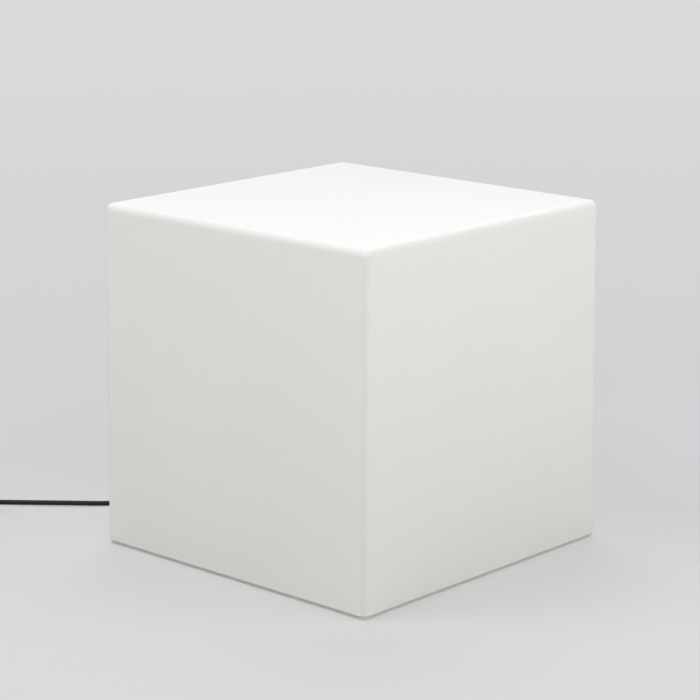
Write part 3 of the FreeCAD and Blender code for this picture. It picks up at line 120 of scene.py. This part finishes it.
def coil_local(turns):
    """Radius and height of the coil's centre line after so many turns."""
    half = COIL_CROSSING
    inner = COIL_START_RADIUS - COIL_PITCH * (COIL_LAYER_TURNS - half / 2)
    outer = inner + COIL_PITCH * (COIL_LAYER_TURNS - half)
    if turns <= COIL_LAYER_TURNS - half:
        return COIL_START_RADIUS - COIL_PITCH * turns, 0.0
    layer = max(1, min(int(round(turns / COIL_LAYER_TURNS)), COIL_LAYERS - 1))
    away = turns - layer * COIL_LAYER_TURNS
    if abs(away) <= half:
        bulge = COIL_PITCH * away ** 2 / (2 * half)
        share = (away + half) / (2 * half)
        height = (layer - 1 + share ** 2 * (3 - 2 * share)) * COIL_LAYER_RISE
    else:
        bulge = COIL_PITCH * (abs(away) - half / 2)
        height = (layer if away > 0 else layer - 1) * COIL_LAYER_RISE
    return (inner + bulge if layer % 2 == 1 else outer - bulge), height


def lead_points():
    """Route of the lead in millimetres: to the floor, out, round the coil, to the plug."""
    start = Vector(GLAND_END)
    points = [start] + [start + Vector(p) for p in BEND_POINTS]
    points += [Vector((x, y, FLOOR_CORD_Z + z)) for x, y, z in FLOOR_POINTS]
    points.append(points[-1] + polar(COIL_LEAD_IN, COIL_HEADING))
    slope = math.degrees(math.atan2(-COIL_PITCH, 2 * math.pi * COIL_START_RADIUS))
    turn = COIL_HEADING - 90.0 + slope
    shift = points[-1] + polar(CORD_DIAMETER, COIL_HEADING) - polar(COIL_START_RADIUS, turn)
    # A spline of this order runs inside its points, so the coil's stand a little further out.
    step = 1.0 / COIL_POINTS_A_TURN
    outward = 1 / math.cos(math.pi * step) ** COIL_OUTSET
    turns = COIL_LAYERS * COIL_LAYER_TURNS + COIL_LAST_TURN
    for i in range(1, int(round(turns / step))):
        radius, height = coil_local(i * step)
        points.append(polar(radius * outward, turn + 360.0 * i * step, height) + shift)
    radius, height = coil_local(turns)
    end = polar(radius, turn + 360.0 * turns, height) + shift
    radius_before = coil_local(turns - COIL_END_STEP)[0]
    before = polar(radius_before, turn + 360.0 * (turns - COIL_END_STEP), height) + shift
    way = (end - before).normalized()
    points.append(end)
    here = end + way * CORD_DIAMETER
    points.append(here)
    drop = here.z - PLUG_HEIGHT / 2
    for run, share in TAIL_RUNS:
        here = here + way * run - Vector((0, 0, drop * share))
        points.append(here)
    return points


def make_lead():
    """The whole lead as one curve, and the slot of its finish."""
    points = [p * MM for p in lead_points()]
    curve = bpy.data.curves.new("mains_lead", "CURVE")
    curve.dimensions = "3D"
    curve.bevel_depth = 1.0         # the points carry the radius
    curve.bevel_resolution = LEAD_STEPS
    curve.resolution_u = LEAD_STEPS
    spline = curve.splines.new("NURBS")
    spline.points.add(len(points) - 1)
    for point, place in zip(spline.points, points):
        point.co = (*place, 1.0)
        point.radius = CORD_DIAMETER / 2 * MM
    spline.order_u = LEAD_ORDER
    spline.use_endpoint_u = True
    lead = bpy.data.objects.new("mains_lead", curve)
    bpy.context.scene.collection.objects.link(lead)
    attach(lead, "shade")
    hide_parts("mains_cord", "cord_coil", "cord_tail")
    return lead, "cord_rubber"


# ---------------------------------------------------------------- screws and bulb thread
# Metres from here on.
SCREW_RADIUS = 0.002
SCREW_HEAD_RADIUS = 0.0038
SCREW_HEAD_HEIGHT = 0.0018
SCREW_CROWN = 0.0009            # rounding of the head
SCREW_CROWN_ANGLES = range(0, 91, 15)
SCREW_END_CHAMFER = 0.0005
SCREW_SIDES = 48
CROSS_REACH = 0.0019            # from the middle of the recess to the end of an arm
CROSS_HALF_WIDTH = 0.00045
CROSS_DEPTH = 0.0012
CROSS_TAPER = 0.45              # floor of the recess against its mouth
THREAD_CREST = 0.0131
THREAD_DEPTH = 0.0008
THREAD_PITCH = 0.00363
THREAD_TURNS = 5
CAP_WALL = 0.0006
CAP_SIDES = 96
CAP_ROWS_A_TURN = 14
SHARP_ANGLE = 35.0
WELD_CARRIED = 1e-6             # between the facets of a node
WELD_SPUN = 1e-7                # at the seam and the axis of a turned form


def add_piece(name, mesh, body, node, slot):
    """Link a mesh as a piece that stands for a node, and return it with its slot."""
    data = bpy.data.meshes.new(name)
    mesh.to_mesh(data)
    mesh.free()
    data.shade_smooth()
    data.set_sharp_from_angle(angle=math.radians(SHARP_ANGLE))
    piece = bpy.data.objects.new(name, data)
    bpy.context.scene.collection.objects.link(piece)
    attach(piece, body)
    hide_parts(node)
    return piece, slot


def solids_of(node):
    """Corners of each separate solid of a node, in the part's frame."""
    carried = NODES[node]
    mesh = bmesh.new()
    mesh.from_mesh(carried.data)
    mesh.transform(carried.matrix_world)
    bmesh.ops.remove_doubles(mesh, verts=mesh.verts, dist=WELD_CARRIED)
    seen = set()
    solids = []
    for vert in mesh.verts:
        if vert in seen:
            continue
        seen.add(vert)
        reached = [vert]
        for corner in reached:
            for edge in corner.link_edges:
                other = edge.other_vert(corner)
                if other not in seen:
                    seen.add(other)
                    reached.append(other)
        solids.append([corner.co.copy() for corner in reached])
    mesh.free()
    return solids


def span(corners, axis):
    values = [corner[axis] for corner in corners]
    return min(values), max(values)


def screw(length):
    """Pan head with a cross recess. The head faces down and its seat is at z = 0."""
    mesh = bmesh.new()
    rim = SCREW_HEAD_RADIUS - SCREW_CROWN
    face_z = -SCREW_HEAD_HEIGHT
    profile = [(rim + SCREW_CROWN * math.sin(math.radians(angle)),
                face_z + SCREW_CROWN * (1 - math.cos(math.radians(angle))))
               for angle in SCREW_CROWN_ANGLES]
    profile += [(SCREW_HEAD_RADIUS, 0.0), (SCREW_RADIUS, 0.0),
                (SCREW_RADIUS, length - SCREW_END_CHAMFER),
                (SCREW_RADIUS - SCREW_END_CHAMFER, length), (0.0, length)]
    line = [mesh.verts.new((radius, 0.0, z)) for radius, z in profile]
    runs = [mesh.edges.new(pair) for pair in zip(line, line[1:])]
    bmesh.ops.spin(mesh, geom=line + runs, cent=(0, 0, 0), axis=(0, 0, 1),
                   angle=2 * math.pi, steps=SCREW_SIDES)
    bmesh.ops.remove_doubles(mesh, verts=mesh.verts, dist=WELD_SPUN)
    around = [edge for edge in mesh.edges if edge.is_boundary]

    cross = [Matrix.Rotation(math.radians(90.0 * arm), 3, "Z") @ Vector((x, y, 0.0))
             for arm in range(4)
             for x, y in ((CROSS_REACH, -CROSS_HALF_WIDTH), (CROSS_REACH, CROSS_HALF_WIDTH),
                          (CROSS_HALF_WIDTH, CROSS_HALF_WIDTH))]
    mouth = [mesh.verts.new((at.x, at.y, face_z)) for at in cross]
    floor = [mesh.verts.new((at.x * CROSS_TAPER, at.y * CROSS_TAPER, face_z + CROSS_DEPTH))
             for at in cross]
    lip = [mesh.edges.new((mouth[i - 1], mouth[i])) for i in range(len(mouth))]
    bmesh.ops.triangle_fill(mesh, use_beauty=True, edges=around + lip)
    for i in range(len(cross)):
        mesh.faces.new((mouth[i - 1], mouth[i], floor[i], floor[i - 1]))
    mesh.faces.new(floor)
    bmesh.ops.recalc_face_normals(mesh, faces=mesh.faces)
    return mesh


def make_screws(node, body, heads_up):
    """Screws with recessed heads where a node has its plain ones."""
    total = bmesh.new()
    for corners in solids_of(node):
        x = sum(span(corners, 0)) / 2
        y = sum(span(corners, 1)) / 2
        low, high = span(corners, 2)
        single = screw(high - low - SCREW_HEAD_HEIGHT)
        seat = high - SCREW_HEAD_HEIGHT if heads_up else low + SCREW_HEAD_HEIGHT
        flip = Matrix.Rotation(math.pi if heads_up else 0.0, 4, "X")
        single.transform(Matrix.Translation((x, y, seat)) @ flip)
        mesh = bpy.data.meshes.new(node)
        single.to_mesh(mesh)
        single.free()
        total.from_mesh(mesh)
        bpy.data.meshes.remove(mesh)
    return add_piece(node + "_recessed", total, body, node, "zinc_steel")


def make_bulb_cap():
    """Screw shell of the bulb with its rolled round thread."""
    low, high = span(solids_of("bulb_cap")[0], 2)
    trough = THREAD_CREST - THREAD_DEPTH
    headings = [360.0 * side / CAP_SIDES for side in range(CAP_SIDES)]

    def outer_radius(heading, z):
        turns = (z - low) / THREAD_PITCH
        fade = min(1.0, turns, max(0.0, THREAD_TURNS - turns))
        wave = math.cos(2 * math.pi * turns - math.radians(heading))
        return trough + THREAD_DEPTH * fade * (0.5 + 0.5 * wave)

    rows = int(round((high - low) / THREAD_PITCH * CAP_ROWS_A_TURN))
    rings = []
    for row in range(rows + 1):
        z = low + (high - low) * row / rows
        rings.append([polar(outer_radius(heading, z), heading, z) for heading in headings])
    for z in (high, low):
        rings.append([polar(trough - CAP_WALL, heading, z) for heading in headings])

    mesh = bmesh.new()
    grid = [[mesh.verts.new(corner) for corner in ring] for ring in rings]
    for j in range(len(grid)):
        upper, lower = grid[j], grid[j - 1]
        for i in range(CAP_SIDES):
            mesh.faces.new((lower[i - 1], lower[i], upper[i], upper[i - 1]))
    bmesh.ops.recalc_face_normals(mesh, faces=mesh.faces)
    return add_piece("bulb_cap_threaded", mesh, "bulb", "bulb_cap", "bulb_cap_metal")


def make_details():
    """Pieces that stand for nodes whose solids are plain, each with its slot."""
    return [
        make_screws("ring_screws", "shade", False),
        make_screws("foot_screws", "shade", False),
        make_screws("bracket_screws", "lamp_unit", True),
        make_bulb_cap(),
    ]


# ---------------------------------------------------------------- materials
GLOSS_SCALE = 4                 # the gloss varies this much finer than the tone
GLOSS_DETAIL = 3.0
GRAIN_DETAIL = 2.0
GRAIN_STRENGTH = 0.6
SHADE_SUBSURFACE_WEIGHT = 0.25
SHADE_SUBSURFACE_RADIUS = (1.0, 0.95, 0.85)
SHADE_SUBSURFACE_SCALE = 0.004
FINISHES = {                    # one for each of the record's material slots
    # Rotationally moulded polyethylene: chalky, slightly see-through, finely pitted.
    "shade_polyethylene": dict(
        base=(0.86, 0.855, 0.835), second=(0.82, 0.815, 0.80), tone_scale=5.0, detail=6.0,
        rough=0.75, rough_spread=0.05, specular=0.08, grain_scale=900.0, grain_height=0.00004),
    "cord_rubber": dict(
        base=(0.008, 0.008, 0.009), second=(0.013, 0.013, 0.014), tone_scale=120.0,
        rough=0.5, rough_spread=0.08, specular=0.3, grain_scale=2500.0, grain_height=0.00002),
    "base_plastic": dict(
        base=(0.697, 0.674, 0.634), second=(0.655, 0.634, 0.595), tone_scale=30.0, rough=0.55),
    "cap_plastic": dict(
        base=(0.78, 0.78, 0.76), second=(0.74, 0.74, 0.72), tone_scale=25.0, rough=0.45),
    "ring_plastic": dict(
        base=(0.70, 0.70, 0.68), second=(0.62, 0.62, 0.60), tone_scale=90.0, rough=0.5,
        grain_scale=3000.0, grain_height=0.00005),
    "gasket_rubber": dict(
        base=(0.03, 0.03, 0.03), second=(0.05, 0.05, 0.05), tone_scale=200.0, rough=0.75),
    "foot_rubber": dict(
        base=(0.028, 0.028, 0.028), second=(0.05, 0.05, 0.048), tone_scale=150.0, rough=0.7,
        grain_height=0.00006),
    "gland_nylon": dict(
        base=(0.02, 0.02, 0.021), second=(0.03, 0.03, 0.031), tone_scale=80.0, rough=0.38),
    "zinc_steel": dict(
        base=(0.62, 0.62, 0.60), second=(0.50, 0.51, 0.52), tone_scale=130.0, rough=0.32,
        rough_spread=0.1, metal=1.0, stretch=(1.0, 1.0, 6.0)),
    "insert_brass": dict(
        base=(0.74, 0.55, 0.27), second=(0.62, 0.44, 0.20), tone_scale=160.0, rough=0.3,
        metal=1.0),
    "holder_plastic": dict(
        base=(0.03, 0.03, 0.03), second=(0.045, 0.043, 0.04), tone_scale=60.0, rough=0.25,
        coat=0.2),
    "carrier_ceramic": dict(
        base=(0.82, 0.80, 0.74), second=(0.74, 0.71, 0.64), tone_scale=220.0, rough=0.6),
    "contact_metal": dict(
        base=(0.78, 0.62, 0.36), second=(0.66, 0.50, 0.27), tone_scale=180.0, rough=0.28,
        metal=1.0),
    "sleeve_nickel": dict(
        base=(0.68, 0.67, 0.64), second=(0.60, 0.58, 0.54), tone_scale=90.0, rough=0.2,
        metal=1.0, stretch=(1.0, 1.0, 8.0)),
    "core_brown": dict(
        base=(0.16, 0.06, 0.025), second=(0.2, 0.08, 0.035), tone_scale=120.0, rough=0.35),
    "core_blue": dict(
        base=(0.02, 0.13, 0.42), second=(0.03, 0.16, 0.48), tone_scale=120.0, rough=0.35),
    "plug_rubber": dict(
        base=(0.022, 0.022, 0.023), second=(0.036, 0.036, 0.036), tone_scale=90.0,
        rough=0.55, grain_scale=2200.0, grain_height=0.00006),
    "pin_nickel": dict(
        base=(0.72, 0.71, 0.68), second=(0.64, 0.62, 0.58), tone_scale=150.0, rough=0.16,
        metal=1.0, stretch=(6.0, 6.0, 1.0)),
    "bulb_cap_metal": dict(
        base=(0.70, 0.69, 0.66), second=(0.60, 0.59, 0.56), tone_scale=140.0, rough=0.26,
        metal=1.0),
    "bulb_glass_black": dict(
        base=(0.012, 0.012, 0.014), second=(0.02, 0.02, 0.022), tone_scale=90.0, rough=0.08,
        coat=0.5),
    "bulb_plastic": dict(
        base=(0.84, 0.84, 0.82), second=(0.80, 0.80, 0.78), tone_scale=50.0, rough=0.28),
    "bulb_opal": dict(
        base=(0.88, 0.88, 0.86), second=(0.85, 0.85, 0.82), tone_scale=30.0, rough=0.4),
    "board_aluminium": dict(
        base=(0.82, 0.82, 0.82), second=(0.76, 0.76, 0.77), tone_scale=120.0, rough=0.4,
        metal=0.2),
    "driver_green": dict(
        base=(0.03, 0.20, 0.07), second=(0.02, 0.15, 0.05), tone_scale=400.0, rough=0.3,
        coat=0.3),
    "driver_part_plastic": dict(
        base=(0.05, 0.05, 0.06), second=(0.08, 0.07, 0.06), tone_scale=200.0, rough=0.35),
    "led_yellow": dict(
        base=(0.85, 0.68, 0.12), second=(0.80, 0.60, 0.08), tone_scale=900.0, rough=0.3,
        coat=0.6),
}


def finish(name, base, second, tone_scale, rough, detail=4.0, rough_spread=0.06, metal=0.0,
           coat=0.0, specular=0.5, grain_scale=1500.0, grain_height=0.00003,
           stretch=(1.0, 1.0, 1.0)):
    """A surface whose colour, gloss and relief all vary with noise, in metres of the part."""
    material = bpy.data.materials.new(name)
    material.use_nodes = True
    tree = material.node_tree
    shader = tree.nodes["Principled BSDF"]
    shader.inputs["Metallic"].default_value = metal
    shader.inputs["Coat Weight"].default_value = coat
    shader.inputs["Specular IOR Level"].default_value = specular

    place = tree.nodes.new("ShaderNodeTexCoord")
    mapping = tree.nodes.new("ShaderNodeMapping")
    mapping.inputs["Scale"].default_value = stretch
    tree.links.new(place.outputs["Object"], mapping.inputs["Vector"])

    def noise(scale, depth):
        node = tree.nodes.new("ShaderNodeTexNoise")
        node.inputs["Scale"].default_value = scale
        node.inputs["Detail"].default_value = depth
        tree.links.new(mapping.outputs["Vector"], node.inputs["Vector"])
        return node

    tone = noise(tone_scale, detail)
    mix = tree.nodes.new("ShaderNodeMix")
    mix.data_type = "RGBA"
    mix.inputs["A"].default_value = (*base, 1.0)
    mix.inputs["B"].default_value = (*second, 1.0)
    tree.links.new(tone.outputs["Fac"], mix.inputs["Factor"])
    tree.links.new(mix.outputs["Result"], shader.inputs["Base Color"])

    gloss = noise(tone_scale * GLOSS_SCALE, GLOSS_DETAIL)
    spread = tree.nodes.new("ShaderNodeMapRange")
    spread.inputs["To Min"].default_value = rough - rough_spread
    spread.inputs["To Max"].default_value = rough + rough_spread
    tree.links.new(gloss.outputs["Fac"], spread.inputs["Value"])
    tree.links.new(spread.outputs["Result"], shader.inputs["Roughness"])

    grain = noise(grain_scale, GRAIN_DETAIL)
    bump = tree.nodes.new("ShaderNodeBump")
    bump.inputs["Strength"].default_value = GRAIN_STRENGTH
    bump.inputs["Distance"].default_value = grain_height
    tree.links.new(grain.outputs["Fac"], bump.inputs["Height"])
    tree.links.new(bump.outputs["Normal"], shader.inputs["Normal"])
    return material


def make_finishes():
    finishes = {name: finish(name, **look) for name, look in FINISHES.items()}
    shade = finishes["shade_polyethylene"].node_tree.nodes["Principled BSDF"]
    shade.inputs["Subsurface Weight"].default_value = SHADE_SUBSURFACE_WEIGHT
    shade.inputs["Subsurface Radius"].default_value = SHADE_SUBSURFACE_RADIUS
    shade.inputs["Subsurface Scale"].default_value = SHADE_SUBSURFACE_SCALE
    return finishes


def dress(finishes, pieces):
    """Give every carried-over node, and each piece of the scene, the finish of its slot."""
    for part in frame["record"]["subparts"]:
        mesh = NODES[part["node"]].data
        mesh.materials.clear()
        mesh.materials.append(finishes[part["material_slot"]])
    for piece, slot in pieces:
        piece.data.materials.append(finishes[slot])


# ---------------------------------------------------------------- studio
FLOOR_COLOUR = (0.60, 0.602, 0.606)
FLOOR_SECOND = [channel * 0.985 for channel in FLOOR_COLOUR]
FLOOR_REACH = 40.0
# Painted light on the backdrop: brightest round the cube, darker a metre out, a little lighter
# far away.
BACKDROP_PAINTED_LIGHT_TONES = [              # metres from the cube's middle, colour
    (0.35, (0.755, 0.757, 0.762)),
    (1.2, (0.655, 0.656, 0.66)),
    (4.5, (0.70, 0.70, 0.702)),
]
# Near the object half of the floor that is seen is painted backdrop, which paints over half of
# the object's shadow there.
BACKDROP_SHARES = (0.5, 1.0)    # of the backdrop in the floor that is seen, near and away
BACKDROP_SHARE_REACH = (0.35, 1.4)      # metres over which the share grows
WORLD_STRENGTH = 0.15
LAMP_AIM = (0.0, 0.0, 0.2)
NEUTRAL = (1.0, 1.0, 1.0)
COOL = (0.88, 0.91, 1.0)
WARM = (1.0, 0.985, 0.945)
LAMPS = [                       # name, place, size in metres, power in watts, colour
    ("top_front_lamp", (-0.6, -1.2, 2.2), 1.4, 21.8, NEUTRAL),
    ("top_back_lamp", (-0.8, 0.8, 2.2), 1.4, 21.9, COOL),
    ("left_lamp", (-0.7, -1.3, 0.9), 0.9, 3.6, WARM),
    ("front_lamp", (1.1, -1.1, 0.9), 1.0, 7.2, WARM),
    ("right_lamp", (1.0, 0.0, 1.15), 0.7, 3.1, NEUTRAL),
    ("far_right_lamp", (1.3, 0.7, 0.9), 0.9, 7.0, WARM),
]


def floor_finish():
    """Matt pale floor that runs out into a backdrop away from the object; the backdrop carries
    painted light, brightest round the object.
    """
    material = finish("floor", FLOOR_COLOUR, FLOOR_SECOND, tone_scale=1.5, rough=0.8,
                      grain_scale=400.0, grain_height=0.00002)
    tree = material.node_tree
    links = tree.links
    shader = tree.nodes["Principled BSDF"]
    place = tree.nodes.new("ShaderNodeTexCoord")

    away = tree.nodes.new("ShaderNodeVectorMath")
    away.operation = "LENGTH"
    links.new(place.outputs["Object"], away.inputs[0])
    share = tree.nodes.new("ShaderNodeMapRange")
    share.interpolation_type = "SMOOTHSTEP"
    share.inputs["From Min"].default_value = BACKDROP_SHARE_REACH[0]
    share.inputs["From Max"].default_value = BACKDROP_SHARE_REACH[1]
    share.inputs["To Min"].default_value = BACKDROP_SHARES[0]
    share.inputs["To Max"].default_value = BACKDROP_SHARES[1]
    links.new(away.outputs["Value"], share.inputs["Value"])

    # Painted light: the backdrop's colour follows the distance from the object, brightest
    # close to it.
    depth = tree.nodes.new("ShaderNodeMath")
    depth.operation = "DIVIDE"
    depth.inputs[1].default_value = BACKDROP_PAINTED_LIGHT_TONES[-1][0]
    links.new(away.outputs["Value"], depth.inputs[0])
    tone = tree.nodes.new("ShaderNodeValToRGB")
    stops = tone.color_ramp.elements
    while len(stops) < len(BACKDROP_PAINTED_LIGHT_TONES):
        stops.new(0.5)          # moved to its own place below
    for stop, (metres, colour) in zip(stops, BACKDROP_PAINTED_LIGHT_TONES):
        stop.position = metres / BACKDROP_PAINTED_LIGHT_TONES[-1][0]
        stop.color = (*colour, 1.0)
    links.new(depth.outputs["Value"], tone.inputs["Fac"])
    backdrop = tree.nodes.new("ShaderNodeEmission")
    links.new(tone.outputs["Color"], backdrop.inputs["Color"])

    # Only rays that are seen meet the backdrop; it throws no light on the object.
    rays = tree.nodes.new("ShaderNodeLightPath")
    seen = rays.outputs["Is Camera Ray"]
    for kind in ("Is Glossy Ray", "Is Transmission Ray"):
        either = tree.nodes.new("ShaderNodeMath")
        either.operation = "MAXIMUM"
        links.new(seen, either.inputs[0])
        links.new(rays.outputs[kind], either.inputs[1])
        seen = either.outputs["Value"]
    blend = tree.nodes.new("ShaderNodeMath")
    blend.operation = "MULTIPLY"
    links.new(seen, blend.inputs[0])
    links.new(share.outputs["Result"], blend.inputs[1])
    mix = tree.nodes.new("ShaderNodeMixShader")
    links.new(blend.outputs["Value"], mix.inputs["Fac"])
    links.new(shader.outputs["BSDF"], mix.inputs[1])
    links.new(backdrop.outputs["Emission"], mix.inputs[2])
    links.new(mix.outputs["Shader"], tree.nodes["Material Output"].inputs["Surface"])
    return material


def make_floor():
    mesh = bpy.data.meshes.new("floor")
    corners = [(x * FLOOR_REACH, y * FLOOR_REACH, 0.0)
               for x, y in ((-1, -1), (1, -1), (1, 1), (-1, 1))]
    mesh.from_pydata(corners, [], [(0, 1, 2, 3)])
    mesh.materials.append(floor_finish())
    floor = bpy.data.objects.new("floor", mesh)
    bpy.context.scene.collection.objects.link(floor)


def make_lights():
    world = bpy.data.worlds.new("studio")
    bpy.context.scene.world = world
    world.use_nodes = True
    background = world.node_tree.nodes["Background"]
    background.inputs["Color"].default_value = (*NEUTRAL, 1.0)
    background.inputs["Strength"].default_value = WORLD_STRENGTH
    for name, place, size, power, colour in LAMPS:
        data = bpy.data.lights.new(name, "AREA")
        data.shape = "DISK"
        data.size = size
        data.energy = power
        data.color = colour
        lamp = bpy.data.objects.new(name, data)
        lamp.location = place
        aim = Vector(LAMP_AIM) - lamp.location
        lamp.rotation_euler = aim.to_track_quat("-Z", "Y").to_euler()
        bpy.context.scene.collection.objects.link(lamp)


make_camera()
pieces = [make_lead()] + make_details()
dress(make_finishes(), pieces)
make_floor()
make_lights()

bpy.context.scene.view_settings.view_transform = "Standard"
